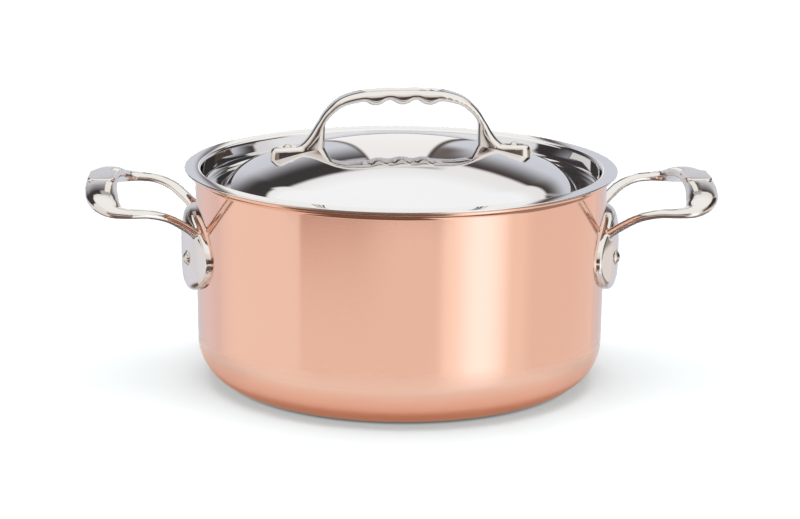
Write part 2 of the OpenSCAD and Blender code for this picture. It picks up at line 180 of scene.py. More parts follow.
def span_point(a, b, c, d, t):
    """Point at share t of one span of a smooth curve through b and c, with neighbours a and d."""
    return tuple((2 * q + (r - p) * t + (2 * p - 5 * q + 4 * r - s) * t ** 2
                  + (3 * q - p - 3 * r + s) * t ** 3) / 2 for p, q, r, s in zip(a, b, c, d))


def smooth_curve(rows, steps):
    """A smooth curve through the rows, with steps places on each span."""
    last = len(rows) - 1
    curve = [span_point(rows[max(i - 1, 0)], rows[i], rows[i + 1], rows[min(i + 2, last)], k / steps)
             for i in range(last) for k in range(steps)]
    return curve + [tuple(rows[last])]


def tube(rings):
    """A closed solid through rings of equally many points, with flat ends."""
    sides = len(rings[0])
    points = [p for ring in rings for p in ring]
    faces = [tuple(range(sides))]
    for i in range(len(rings) - 1):
        for j in range(sides):
            k = (j + 1) % sides
            faces.append((i * sides + j, (i + 1) * sides + j, (i + 1) * sides + k, i * sides + k))
    faces.append(tuple(range(len(points) - 1, len(points) - 1 - sides, -1)))
    return points, faces


def bar_outline(squareness):
    """Outline of a rounded bar of half width and half thickness 1."""
    angles = [2 * math.pi * (j + 0.5) / BAR_SIDES for j in range(BAR_SIDES)]
    return [(math.copysign(abs(math.cos(a)) ** (2 / squareness), math.cos(a)),
             math.copysign(abs(math.sin(a)) ** (2 / squareness), math.sin(a))) for a in angles]


def swept_bar(rows, squareness, up, taper=0.0):
    """A rounded bar along rows of x, y, z, size across and size towards up, wider on one side by a taper."""
    rings = []
    for i, (x, y, z, wide, high) in enumerate(rows):
        ahead = Vector(rows[min(i + 1, len(rows) - 1)][:3]) - Vector(rows[max(i - 1, 0)][:3])
        ahead.normalize()
        side = Vector(up).cross(ahead).normalized()
        top = ahead.cross(side)
        rings.append([Vector((x, y, z)) + across * wide / 2 * side
                      + upward * (1 + taper * across) * high / 2 * top
                      for across, upward in bar_outline(squareness)])
    return tube(rings)


def revolved(section, sides):
    """A closed solid of revolution about Z from a section that starts and ends on the axis."""
    section = [here for here, before in zip(section, [None] + section[:-1])
               if before is None or math.dist(here, before) > SAME_PLACE]
    points, faces, starts = [], [], []
    for r, z in section:
        starts.append(len(points))
        if r < ON_AXIS:
            points.append((0, 0, z))
            continue
        for j in range(sides):
            a = 2 * math.pi * j / sides
            points.append((r * math.cos(a), r * math.sin(a), z))
    for i in range(len(section) - 1):
        low, high = starts[i], starts[i + 1]
        for j in range(sides):
            k = (j + 1) % sides
            if section[i][0] < ON_AXIS:
                faces.append((low, high + k, high + j))
            elif section[i + 1][0] < ON_AXIS:
                faces.append((low + j, low + k, high))
            else:
                faces.append((low + j, low + k, high + k, high + j))
    return points, faces


def rounded_outline(half_x, half_y, r):
    """Points round a rectangle with round corners, about the origin."""
    corners = [(1, 1), (-1, 1), (-1, -1), (1, -1)]
    return [(sx * (half_x - r) + r * math.cos(math.radians(90 * (quarter + i / CORNER_STEPS))),
             sy * (half_y - r) + r * math.sin(math.radians(90 * (quarter + i / CORNER_STEPS))))
            for quarter, (sx, sy) in enumerate(corners) for i in range(CORNER_STEPS + 1)]


def edge_steps(r):
    """Insets and drops of a rounded upper edge, from its side to its top."""
    angles = [math.pi / 2 * i / EDGE_STEPS for i in range(EDGE_STEPS + 1)]
    return [(r * (1 - math.cos(a)), r * (1 - math.sin(a))) for a in angles]


def moved(solid, matrix):
    """A solid with its points moved by a matrix."""
    points, faces = solid
    return [matrix @ Vector(p) for p in points], faces


# Side handles, in millimetres, for the right-hand one, which is then turned to its side

SIDE_TURNS = {"right": 0.0, "left": 180.0}

# Boss: the height of its middle, half of its width and height, and how far its face and rim stand out
BOSS_HEIGHT = 79.5
BOSS_HALF = 48.0
BOSS_HALF_H = 24.5
BOSS_PROUD = 9.0
BOSS_RIM = 3.2
BOSS_FULLNESS = 4
BOSS_SIDES = 96
BOSS_RINGS = 28

# Loop: its outer reach and span, the rise of its arms and grip, and their widths and thicknesses
LOOP_REACH = 63.9
LOOP_SPAN = 107.0
ARM_RISE = 31.0
GRIP_RISE = 9.0
ARM_W = 8.0
ARM_T = 5.0
GRIP_W = 18.6
GRIP_T = 6.0
LOOP_SQUARENESS = 2.3

# Pad on top of the grip
PAD_LENGTH = 28.0
PAD_W = 16.4
PAD_RISE = 0.4
PAD_CORNER_R = 5.0
PAD_EDGE_R = 1.0

# Rivets, their seats in the boss, and how far a cut runs past what it cuts
RIVET_HEAD_D = 8.8
RIVET_HEAD_H = 3.0
RIVET_HEIGHT = 78.0
RIVET_SPAN = 47.0
RIVET_SEAT_DEPTH = 0.8
HOLE_GAP = 0.05
OVERRUN = 1.0
LIP_START = 0.1

# Places that follow from these sizes
BOSS_WALL_R = POT_R - WALL_SLOPE * (LIP_BEND_Z - BOSS_HEIGHT)
BOSS_RIM_X = math.sqrt(BOSS_WALL_R ** 2 - BOSS_HALF ** 2) + BOSS_RIM
BOSS_BULGE = BOSS_WALL_R + BOSS_PROUD - BOSS_RIM_X
BOSS_FACE_R = (BOSS_HALF ** 2 + BOSS_BULGE ** 2) / (2 * BOSS_BULGE)
BOSS_FACE_X = BOSS_WALL_R + BOSS_PROUD - BOSS_FACE_R
RIVET_TURN = math.asin(RIVET_SPAN / 2 / POT_R)
RIVET_SEAT_R = (BOSS_FACE_X * math.cos(RIVET_TURN)
                + math.sqrt(BOSS_FACE_R ** 2 - (BOSS_FACE_X * math.sin(RIVET_TURN)) ** 2)
                - RIVET_SEAT_DEPTH)

# Half of the loop: reach, half span, arm rise, grip rise and how far the section is the grip's,
# as shares, and the thickness that its upper side adds
LOOP_SHARES = [
    (-0.26, 0.46, 0.08, 0, 0.3, 0),
    (-0.12, 0.54, 0.29, 0, 0.2, 0),
    (0, 0.63, 0.49, 0, 0.1, 0),
    (0.145, 0.745, 0.71, 0, 0, 0),
    (0.29, 0.86, 0.88, 0, 0, 0),
    (0.47, 0.95, 0.98, 0, 0.02, 0),
    (0.66, 0.995, 1.00, 0, 0.15, 0.2),
    (0.81, 0.96, 1.00, 0.02, 0.45, 1.6),
    (0.905, 0.84, 1.00, 0.14, 0.75, 3.4),
    (0.96, 0.66, 1.00, 0.38, 1, 3.4),
    (0.99, 0.42, 1.00, 0.72, 1, 1.8),
    (1, 0.19, 1.00, 0.95, 1, 0.2),
    (1, 0, 1.00, 1, 1, 0)]


def loop_row(shares, side):
    """One row of the loop's bar: x, y, z, width and thickness."""
    reach, span, arm_rise, grip_rise, grip, thicker = shares
    return (POT_R + (LOOP_REACH - GRIP_W / 2) * reach,
            side * LOOP_SPAN / 2 * span,
            BOSS_HEIGHT + ARM_RISE * arm_rise + GRIP_RISE * grip_rise + thicker / 2,
            ARM_W + (GRIP_W - ARM_W) * grip,
            ARM_T + (GRIP_T - ARM_T) * grip + thicker)


def loop():
    """The loop's bar, from inside the boss, round the grip and back."""
    half = [loop_row(shares, -1) for shares in LOOP_SHARES]
    other = [loop_row(shares, 1) for shares in LOOP_SHARES[-2::-1]]
    return swept_bar(smooth_curve(half + other, BAR_STEPS), LOOP_SQUARENESS, (0, 0, 1))


def boss():
    """The oval boss, run back into the wall's space, which is then cut from it."""
    back_x = BOSS_WALL_R - 2 * BOSS_BULGE
    rings = [[(back_x, y, z) for _, y, z in boss_ring(1)]]
    rings += [boss_ring(math.cos(math.pi / 2 * i / BOSS_RINGS)) for i in range(BOSS_RINGS)]
    return tube(rings)


def boss_ring(share):
    """Places on the boss's face at a share of its outline."""
    ring = []
    for j in range(BOSS_SIDES):
        a = 2 * math.pi * j / BOSS_SIDES
        y = BOSS_HALF * share * math.cos(a)
        face_x = BOSS_FACE_X + math.sqrt(BOSS_FACE_R ** 2 - y ** 2)
        rim_x = math.sqrt(BOSS_WALL_R ** 2 - y ** 2) + BOSS_RIM
        full = math.sqrt(1 - share ** BOSS_FULLNESS)
        ring.append((rim_x + (face_x - rim_x) * full, y, BOSS_HEIGHT + BOSS_HALF_H * share * math.sin(a)))
    return ring


def grip_pad():
    """The level pad on the grip, with a rounded upper edge."""
    top = BOSS_HEIGHT + ARM_RISE + GRIP_RISE + GRIP_T / 2 + PAD_RISE
    middle = POT_R + LOOP_REACH - GRIP_W / 2
    rings = []
    for inset, drop in [(0, GRIP_T / 2)] + edge_steps(PAD_EDGE_R):
        outline = rounded_outline(PAD_W / 2 - inset, PAD_LENGTH / 2 - inset, PAD_CORNER_R - inset)
        rings.append([(middle + x, y, top - drop) for x, y in outline])
    return tube(rings)


def wall_form():
    """The space inside the wall's outer surface up to the lip's bend, which the handles are cut to."""
    section = [point for point in pot_surface(0) if CORNER_R / 2 <= point[1] <= LIP_BEND_Z + LIP_START]
    return revolved([(0, section[0][1])] + section + [(0, section[-1][1])], TURNED_SIDES)


def at_rivet(solid, side):
    """Lays a solid about +Z along a side handle's rivet."""
    turn = (Matrix.Rotation(side * RIVET_TURN, 4, "Z") @ Matrix.Translation((0, 0, RIVET_HEIGHT))
            @ Matrix.Rotation(math.pi / 2, 4, "Y"))
    return moved(solid, turn)


def rivet_seat(side):
    """The flat seat under a rivet's head."""
    r = RIVET_HEAD_D / 2 + HOLE_GAP
    far = RIVET_SEAT_R + BOSS_PROUD + OVERRUN
    return at_rivet(revolved([(0, RIVET_SEAT_R), (r, RIVET_SEAT_R), (r, far), (0, far)], BAR_SIDES), side)


# Lid handle, in millimetres, before the lid's turn

LID_TURN = 3.6

# Arch: the span between its legs, its height above the flange, and the sections of grip and legs
ARCH_SPAN = 98.0
ARCH_TOP = 46.2
ARCH_GRIP_W = 16.5
ARCH_GRIP_T = 6.2
ARCH_LEG_W = 11.0
ARCH_LEG_T = 4.0
ARCH_SQUARENESS = 3.2
ARCH_TAPER = 0.06
ROOT_SQUARENESS = 3.0

# Finger bumps under the grip
BUMPS = 3
BUMP_DROP = 3.0
BUMP_PITCH = 15.8
BUMP_SHARPNESS = 1.3

# Feet: the reach from tip to tip, how far a foot runs in past its leg, and its form
FOOT_REACH = 155.0
FOOT_HEEL = 2.5
FOOT_W = 10.5
FOOT_T = 5.0
FOOT_FALL = 1.2
FOOT_EDGE_R = 2.4
FOOT_DRAFT = math.radians(5)
FOOT_RIVET_INSET = 9.7
LID_RIVET_HEAD_D = 5.4
LID_RIVET_HEAD_H = 2.2

# Places that follow from these sizes
ARCH_RISE = ARCH_TOP - DOME_RISE - ARCH_GRIP_T / 2
FOOT_LENGTH = FOOT_REACH / 2 - ARCH_SPAN / 2 + FOOT_HEEL
FOOT_RIVET_X = FOOT_REACH / 2 - FOOT_RIVET_INSET
DOME_Z_AT_RIVET = DOME_Z + math.sqrt(DOME_R ** 2 - FOOT_RIVET_X ** 2)
FOOT_RIVET_Z = DOME_Z_AT_RIVET + FOOT_T - DOME_Z
FOOT_TILT = math.atan(FOOT_RIVET_X / FOOT_RIVET_Z)
FOOT_SEAT_D = LID_RIVET_HEAD_D + 2 * HOLE_GAP
FOOT_SEAT_R = (math.hypot(FOOT_RIVET_X, FOOT_RIVET_Z)
               - FOOT_SEAT_D / 2 * math.tan(FOOT_TILT - math.atan(FOOT_FALL / FOOT_LENGTH)))

# Half of the arch: half span, height above the dome and how far the section is the grip's, as shares
ARCH_SHARES = [
    (1.03, 0.06, 0),
    (1.015, 0.14, 0),
    (0.995, 0.25, 0),
    (0.945, 0.46, 0.12),
    (0.864, 0.645, 0.35),
    (0.755, 0.81, 0.6),
    (0.612, 0.912, 0.85),
    (0.43, 0.972, 1),
    (0.21, 0.995, 1),
    (0, 1, 1)]

# A leg's root: distance from the axis, height above the dome's top, length along the foot, and width
ROOT_ROWS = [
    (53.8, -10.0, 16.0, 10.5),
    (53.8, -5.2, 16.0, 10.5),
    (53.0, -3.2, 14.6, 10.6),
    (51.6, -0.8, 12.0, 10.8),
    (50.3, 2.4, 9.4, 11.0),
    (49.2, 5.6, 7.4, 11.0),
    (48.2, 9.0, 5.4, 11.0),
    (47.4, 11.5, 3.6, 10.8)]


def arch_row(shares, side):
    """One row of the arch's bar: x, y, z, thickness and width."""
    span, height, grip = shares
    return (side * ARCH_SPAN / 2 * span, 0, DOME_TOP + ARCH_RISE * height,
            ARCH_LEG_T + (ARCH_GRIP_T - ARCH_LEG_T) * grip,
            ARCH_LEG_W + (ARCH_GRIP_W - ARCH_LEG_W) * grip)


def leg_root(side):
    """The flared root of a leg, in level rings from inside the foot up into the leg."""
    rings = []
    for x, height, length, width in smooth_curve(ROOT_ROWS, BAR_STEPS):
        rings.append([(side * x + length / 2 * across, width / 2 * upward, DOME_TOP + height)
                      for across, upward in bar_outline(ROOT_SQUARENESS)])
    return tube(rings)


def bump_at(x):
    """How far the underside of the grip stands down, at a distance from its middle."""
    if abs(x) > BUMPS * BUMP_PITCH / 2:
        return 0
    return BUMP_DROP * ((1 + math.cos(2 * math.pi * x / BUMP_PITCH)) / 2) ** BUMP_SHARPNESS


def arch():
    """The arch's bar, from inside one foot to inside the other, with its finger bumps."""
    half = [arch_row(shares, -1) for shares in ARCH_SHARES]
    other = [arch_row(shares, 1) for shares in ARCH_SHARES[-2::-1]]
    rows = [(x, y, z - bump_at(x) / 2, thick + bump_at(x), wide)
            for x, y, z, thick, wide in smooth_curve(half + other, BAR_STEPS)]
    return swept_bar(rows, ARCH_SQUARENESS, (0, 1, 0), ARCH_TAPER)


def foot(side):
    """A tongue foot with a nearly flat top, a rounded edge and sloping sides."""
    middle = FOOT_REACH / 2 - FOOT_LENGTH / 2
    depth = DOME_TOP - CHANNEL_Z
    rings = []
    for inset, drop in [(-depth * math.tan(FOOT_DRAFT), depth)] + edge_steps(FOOT_EDGE_R):
        outline = rounded_outline(FOOT_LENGTH / 2 - inset, FOOT_W / 2 - inset, FOOT_W / 2 - inset)
        ring = []
        for x, y in outline:
            along = middle + x
            top = DOME_Z_AT_RIVET + FOOT_T - FOOT_FALL * (along - FOOT_RIVET_X) / FOOT_LENGTH
            ring.append((along, y, top - drop))
        rings.append(ring)
    return moved(tube(rings), Matrix.Rotation(0 if side > 0 else math.pi, 4, "Z"))


def crown_form():
    """The space under the dome's crown, which the lid handle is cut to."""
    crown = arc((0, DOME_Z), DOME_R, 90, math.degrees(math.acos(CROWN_EDGE[0] / DOME_R)))
    low = CHANNEL_Z - OVERRUN
    return revolved(crown + [(CROWN_EDGE[0], low), (0, low)], TURNED_SIDES)


def foot_rivet_seat(side):
    """The flat seat under the head of a lid rivet."""
    r = FOOT_SEAT_D / 2
    far = FOOT_SEAT_R + LID_RIVET_HEAD_H + OVERRUN
    seat = revolved([(0, FOOT_SEAT_R), (r, FOOT_SEAT_R), (r, far), (0, far)], BAR_SIDES)
    return moved(seat, Matrix.Translation((0, 0, DOME_Z)) @ Matrix.Rotation(side * FOOT_TILT, 4, "Y"))


# Rivets. A head is given as its radius and its height

RIVET_SIDES = 72
SIDE_SHANK_D = 6.0
SIDE_HEAD = (RIVET_HEAD_D / 2, RIVET_HEAD_H)
SIDE_TAIL_HEAD = (6.0, 1.4)
SIDE_TAIL_R = (math.sqrt((BOSS_WALL_R - SHEET_T) ** 2 - SIDE_TAIL_HEAD[0] ** 2)
               - WALL_SLOPE * 2 * SIDE_TAIL_HEAD[0])
LID_SHANK_D = 3.6
LID_HEAD = (LID_RIVET_HEAD_D / 2, LID_RIVET_HEAD_H)
LID_TAIL_HEAD = (4.0, 1.1)
LID_TAIL_R = math.sqrt((DOME_R - LID_T) ** 2 - LID_TAIL_HEAD[0] ** 2)


def rivet(seat, tail, shank_d, head, tail_head):
    """A rivet along +Z with a domed head on its seat and a low one at its tail."""
    head_r, head_h = head
    tail_r, tail_h = tail_head
    head_curve = (head_r ** 2 + head_h ** 2) / (2 * head_h)
    tail_curve = (tail_r ** 2 + tail_h ** 2) / (2 * tail_h)
    head_low = math.degrees(math.asin((head_curve - head_h) / head_curve))
    tail_low = math.degrees(math.asin((tail_curve - tail_h) / tail_curve))
    section = (arc((0, seat + head_h - head_curve), head_curve, 90, head_low)
               + [(shank_d / 2, seat), (shank_d / 2, tail)]
               + arc((0, tail - tail_h + tail_curve), tail_curve, -tail_low, -90))
    return revolved([(max(r, 0), z) for r, z in section], RIVET_SIDES)


def side_rivet(side):
    """The rivet on one flank of the right-hand boss."""
    return at_rivet(rivet(RIVET_SEAT_R, SIDE_TAIL_R, SIDE_SHANK_D, SIDE_HEAD, SIDE_TAIL_HEAD), side)


def lid_rivet(side):
    """The rivet of one foot of the arch, square to the dome."""
    turn = Matrix.Translation((0, 0, DOME_Z)) @ Matrix.Rotation(side * FOOT_TILT, 4, "Y")
    return moved(rivet(FOOT_SEAT_R, LID_TAIL_R, LID_SHANK_D, LID_HEAD, LID_TAIL_HEAD), turn)


# Pieces

CAST_VOXEL = 0.0005
CAST_SMOOTH_SHARE = 0.5
CAST_SMOOTH_STEPS = 22
CRISP_ANGLE = math.radians(35)


def new_object(name, solids, turn=0.0):
    """A mesh object in metres from solids in millimetres, turned about Z by an angle in degrees."""
    points, faces = [], []
    for solid_points, solid_faces in solids:
        faces += [tuple(i + len(points) for i in face) for face in solid_faces]
        points += solid_points
    place = Matrix.Rotation(math.radians(turn), 4, "Z") @ Matrix.Scale(MM, 4)
    mesh = bpy.data.meshes.new(name)
    mesh.from_pydata([place @ Vector(p) for p in points], [], faces)
    shell = bmesh.new()
    shell.from_mesh(mesh)
    bmesh.ops.recalc_face_normals(shell, faces=shell.faces)
    shell.to_mesh(mesh)
    shell.free()
    mesh.shade_smooth()
    piece = bpy.data.objects.new(name, mesh)
    bpy.context.scene.collection.objects.link(piece)
    return piece


def dress(piece, body, material, node):
    """Gives a piece its material and body, and hides the CAD node that it stands for."""
    piece.data.materials.clear()
    piece.data.materials.append(material)
    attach(piece, body)
    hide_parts(node)


def apply_modifiers(piece):
    """Makes the shape that a piece's modifiers give it its own mesh."""
    depsgraph = bpy.context.evaluated_depsgraph_get()
    mesh = bpy.data.meshes.new_from_object(piece.evaluated_get(depsgraph))
    piece.modifiers.clear()
    piece.data = mesh


def cast(piece):
    """Melts a piece's solids into one skin, with soft fillets where they meet."""
    remesh = piece.modifiers.new("remesh", "REMESH")
    remesh.mode = "VOXEL"
    remesh.voxel_size = CAST_VOXEL
    smooth = piece.modifiers.new("smooth", "SMOOTH")
    smooth.factor = CAST_SMOOTH_SHARE
    smooth.iterations = CAST_SMOOTH_STEPS
    apply_modifiers(piece)


def combine(piece, operation, solid, turn=0.0):
    """Adds a solid to a piece, or cuts it away, and leaves the new edge crisp."""
    tool = new_object("tool", [solid], turn)
    cut = piece.modifiers.new("cut", "BOOLEAN")
    cut.operation = operation
    cut.solver = "MANIFOLD"
    cut.object = tool
    apply_modifiers(piece)
    bpy.data.objects.remove(tool)


def crisp_edges(piece):
    """Shades a piece smooth, but for its sharp edges."""
    piece.data.shade_smooth()
    shell = bmesh.new()
    shell.from_mesh(piece.data)
    for edge in shell.edges:
        edge.smooth = edge.calc_face_angle(0) < CRISP_ANGLE
    shell.to_mesh(piece.data)
    shell.free()


def make_loop_handle(side, turn):
    """A side handle: boss and loop cast in one, with a crisp pad, and cut to the wall."""
    piece = new_object(f"{side}_loop_handle", [boss(), loop()], turn)
    cast(piece)
    combine(piece, "UNION", grip_pad(), turn)
    combine(piece, "DIFFERENCE", wall_form(), turn)
    for rivet_side in (-1, 1):
        combine(piece, "DIFFERENCE", rivet_seat(rivet_side), turn)
    crisp_edges(piece)
    dress(piece, "pot", cast_steel, f"{side}_side_handle")


def make_arch_handle():
    """The lid's handle: arch and feet cast in one, and cut to the dome."""
    piece = new_object("lid_arch_handle", [arch(), leg_root(-1), leg_root(1), foot(-1), foot(1)], LID_TURN)
    cast(piece)
    combine(piece, "DIFFERENCE", crown_form())
    for side in (-1, 1):
        combine(piece, "DIFFERENCE", foot_rivet_seat(side), LID_TURN)
    crisp_edges(piece)
    dress(piece, "lid", cast_steel, "lid_handle")


def make_rivet(place, solid, turn, body):
    """A turned rivet with its heads domed."""
    piece = new_object(f"{place}_domed_rivet", [solid], turn)
    crisp_edges(piece)
    dress(piece, body, rivet_steel, f"{place}_rivet")


def make_turned(name, section, body, material, node):
    """A piece turned about the pot's axis."""
    piece = new_object(name, [revolved(section, TURNED_SIDES)])
    dress(piece, body, material, node)


# Shader nodes


def join(tree, value, socket):
    """Sets a socket to a number or colour, or links another node's output to it."""
    if isinstance(value, bpy.types.NodeSocket):
        tree.links.new(value, socket)
    else:
        socket.default_value = value


def compute(tree, operation, *values):
    """A math node on numbers or sockets."""
    node = tree.nodes.new("ShaderNodeMath")
    node.operation = operation
    for value, socket in zip(values, node.inputs):
        join(tree, value, socket)
    return node.outputs["Value"]


def remap(tree, value, from_low, from_high, low, high, kind="LINEAR"):
    """Maps a value from one range to another."""
    node = tree.nodes.new("ShaderNodeMapRange")
    node.interpolation_type = kind
    names = ("Value", "From Min", "From Max", "To Min", "To Max")
    for name, setting in zip(names, (value, from_low, from_high, low, high)):
        join(tree, setting, node.inputs[name])
    return node.outputs["Result"]


def mixed(tree, factor, colour_a, colour_b):
    """Colour a where the factor is 0, and colour b where it is 1."""
    node = tree.nodes.new("ShaderNodeMix")
    node.data_type = "RGBA"
    join(tree, factor, node.inputs["Factor"])
    join(tree, colour_a, node.inputs["A"])
    join(tree, colour_b, node.inputs["B"])
    return node.outputs["Result"]


def mixed_shader(tree, factor, shader_a, shader_b):
    """Shader a where the factor is 0, and shader b where it is 1."""
    node = tree.nodes.new("ShaderNodeMixShader")
    join(tree, factor, node.inputs["Fac"])
    tree.links.new(shader_a, node.inputs[1])
    tree.links.new(shader_b, node.inputs[2])
    return node.outputs["Shader"]


def axes(tree, output):
    """The x, y and z of a texture coordinate."""
    coords = tree.nodes.new("ShaderNodeTexCoord")
    parts = tree.nodes.new("ShaderNodeSeparateXYZ")
    tree.links.new(coords.outputs[output], parts.inputs["Vector"])
    return parts.outputs["X"], parts.outputs["Y"], parts.outputs["Z"]


def azimuth_of(tree, x, y):
    """Angle round Z in degrees: 0 towards the camera's side, 90 towards +X."""
    return compute(tree, "DEGREES", compute(tree, "ARCTAN2", x, compute(tree, "MULTIPLY", y, -1.0)))


def near(tree, value, half, soft):
    """1 where a value is within half of zero, falling to 0 across a soft edge."""
    return remap(tree, compute(tree, "ABSOLUTE", value), half - soft, half + soft, 1.0, 0.0, "SMOOTHSTEP")


def near_azimuth(tree, azimuth, middle, half, soft):
    """1 where an azimuth is within half of a middle one."""
    away = compute(tree, "WRAP", compute(tree, "SUBTRACT", azimuth, middle), 180.0, -180.0)
    return near(tree, away, half, soft)


def colour_ramp(tree, value, stops):
    """A colour that follows stops, each a place from 0 to 1 and a colour."""
    node = tree.nodes.new("ShaderNodeValToRGB")
    elements = node.color_ramp.elements
    middle = 0.5
    while len(elements) < len(stops):
        elements.new(middle)
    for element, (place, colour) in zip(elements, stops):
        element.position = place
        element.color = (*colour, 1)
    tree.links.new(value, node.inputs["Fac"])
    return node.outputs["Color"]


def noise(tree, scale, detail, stretch=(1, 1, 1)):
    """Noise in object space, stretched along the axes."""
    coords = tree.nodes.new("ShaderNodeTexCoord")
    mapping = tree.nodes.new("ShaderNodeMapping")
    mapping.inputs["Scale"].default_value = stretch
    texture = tree.nodes.new("ShaderNodeTexNoise")
    texture.inputs["Scale"].default_value = scale
    texture.inputs["Detail"].default_value = detail
    tree.links.new(coords.outputs["Object"], mapping.inputs["Vector"])
    tree.links.new(mapping.outputs["Vector"], texture.inputs["Vector"])
    return texture.outputs["Fac"]


def node_material(name):
    """A new material, its node tree and its shader."""
    material = bpy.data.materials.new(name)
    material.use_nodes = True
    tree = material.node_tree
    return material, tree, tree.nodes["Principled BSDF"]


# Metals. Scales are in spots per metre, and the relief's height is in metres

CLOUD_SCALE = 14.0
CLOUD_DETAIL = 3.0
GRAIN_DETAIL = 4.0
GRAIN_RANGE = (0.25, 0.75)
SPUN = (1, 1, 6)


def metal(name, colours, rough, relief_height, grain_scale, stretch=(1, 1, 1)):
    """A metal with cloudy colour, and with roughness and relief that follow its grain."""
    material, tree, shader = node_material(name)
    shader.inputs["Metallic"].default_value = 1.0
    clouds = noise(tree, CLOUD_SCALE, CLOUD_DETAIL)
    grain = noise(tree, grain_scale, GRAIN_DETAIL, stretch)
    low, high = colours
    join(tree, mixed(tree, clouds, (*low, 1), (*high, 1)), shader.inputs["Base Color"])
    join(tree, remap(tree, grain, *GRAIN_RANGE, *rough), shader.inputs["Roughness"])
    relief = tree.nodes.new("ShaderNodeBump")
    relief.inputs["Distance"].default_value = relief_height
    tree.links.new(grain, relief.inputs["Height"])
    tree.links.new(relief.outputs["Normal"], shader.inputs["Normal"])
    return material


# Studio: what the metal mirrors, with angles in degrees

# Colours from straight down at elevation -90 to straight up at 90
SKY_STOPS = [
    (-90, (0.20, 0.14, 0.12)),
    (-26, (0.16, 0.11, 0.09)),
    (-21, (0.92, 0.86, 0.83)),
    (-16.6, (0.90, 0.84, 0.82)),
    (-15.4, (0.80, 0.70, 0.66)),
    (-14.2, (0.52, 0.38, 0.34)),
    (-11, (0.30, 0.23, 0.20)),
    (8, (0.30, 0.23, 0.20)),
    (16, (0.84, 0.79, 0.74)),
    (38, (0.96, 0.94, 0.92)),
    (44, (1.06, 1.06, 1.06))]

# Panels of light and shade: middle, half width and softness in azimuth, the same in elevation, and colour
STUDIO = {
    "front_middle": (4, 20, 14, -15, 5, 2, (0.90, 0.83, 0.80)),
    "front_glow": (-43, 15, 4, 20, 10, 5, (0.86, 0.79, 0.72)),
    "left_table": (-95, 34, 1, -28, 30, 3, (0.87, 0.76, 0.67)),
    "left_table_far": (-92, 32, 1, -15, 7, 2, (0.95, 0.93, 0.92)),
    "left_back_haze": (-156, 36, 12, -15, 9, 3, (0.80, 0.79, 0.86)),
    "left_softbox": (-85, 27, 2, 22, 24, 3, (0.95, 0.93, 0.91)),
    "back_dark": (180, 42, 4, 18, 13, 1.2, (0.07, 0.055, 0.05)),
    "left_dark": (-132, 21, 2, 17, 21, 1.2, (0.06, 0.05, 0.05)),
    "left_dark_top": (-160, 18, 3, 31.5, 5, 1.2, (0.05, 0.045, 0.045)),
    "backdrop": (166, 39, 15, -8, 30, 8, (0.67, 0.68, 0.73)),
    "backdrop_top": (178, 7, 1.5, 32.5, 4, 0.8, (0.50, 0.49, 0.51)),
    "middle_shade": (172.4, 1.4, 1.3, 23, 6, 4, (0.16, 0.13, 0.12)),
    "middle_edge": (177.4, 4.15, 0.3, 15.9, 15.3, 0.5, (0.10, 0.07, 0.06)),
    "backdrop_middle": (177.5, 3.7, 0.25, 15.9, 14.4, 0.4, (0.98, 0.955, 0.92)),
    "right_dark": (114, 23, 3, 17, 15, 1.5, (0.04, 0.04, 0.04)),
    "right_brown_top": (78, 18, 4, 32, 9, 5, (0.78, 0.60, 0.54)),
    "right_brown": (78, 18, 4, 12, 11, 6, (0.10, 0.07, 0.05)),
    "right_grey": (60, 5, 3, 12, 14, 4, (0.50, 0.47, 0.44)),
    "right_table": (100, 40, 3, -30, 31, 3, (0.36, 0.31, 0.28)),
    "right_back_haze": (158, 18, 8, -15, 9, 3, (0.72, 0.71, 0.77)),
    "right_table_far": (98, 44, 8, -16, 6, 1.5, (0.88, 0.81, 0.78)),
    "camera": (2, 12, 3, -1, 8, 2, (0.06, 0.05, 0.06)),
    "key_side": (62, 10, 6, -16, 54, 3, (0.97, 0.94, 0.90)),
    "key_panel": (39, 19, 4, -16, 54, 3, (1.08, 1.07, 1.04)),
    "key_glare": (43, 11, 9, -20, 14, 4, (1.36, 1.48, 1.60))}

# Soft light from overhead: elevation of its edge, softness of the edge, and strength
CEILING_EDGE = 68
CEILING_SOFT = 16
CEILING_STRENGTH = 6.5
WHITE = (1, 1, 1, 1)

# Floor, in metres. As the camera sees it: its colour, and a glow that sets in beside the pot's base, which
# leaves a painted dark contact shadow right next to the base
FLOOR_HALF = 4.0
FLOOR_COLOUR = (0.665, 0.70, 0.715, 1)
FLOOR_GLOW_COLOUR = (0.94, 1, 1.01, 1)
FLOOR_GLOW = 0.46
FLOOR_PAINTED_CONTACT_SHADOW_EDGE = (0.099, 0.106)

# As metal mirrors it: a painted glow, warm beside the pot where it stands in for light bounced from the
# copper, and seen only near the metal and the axis
MIRROR_PAINTED_GLOW = 0.24
MIRROR_PAINTED_BOUNCE_COLOUR = (1.7, 0.98, 0.70, 1)
MIRROR_PAINTED_BOUNCE_END = (0.115, 0.165)
MIRROR_REACH = (0.075, 0.11)
MIRROR_R = 0.205
MIRROR_FADE = 0.04

# Dark room that metal mirrors past the floor: colour, azimuth as for a panel, and inner radius
ROOM_COLOUR = (0.10, 0.085, 0.08, 1)
ROOM_AZIMUTH = (-20, 42, 5)
ROOM_R = 0.62
ROOM_FADE = 0.04


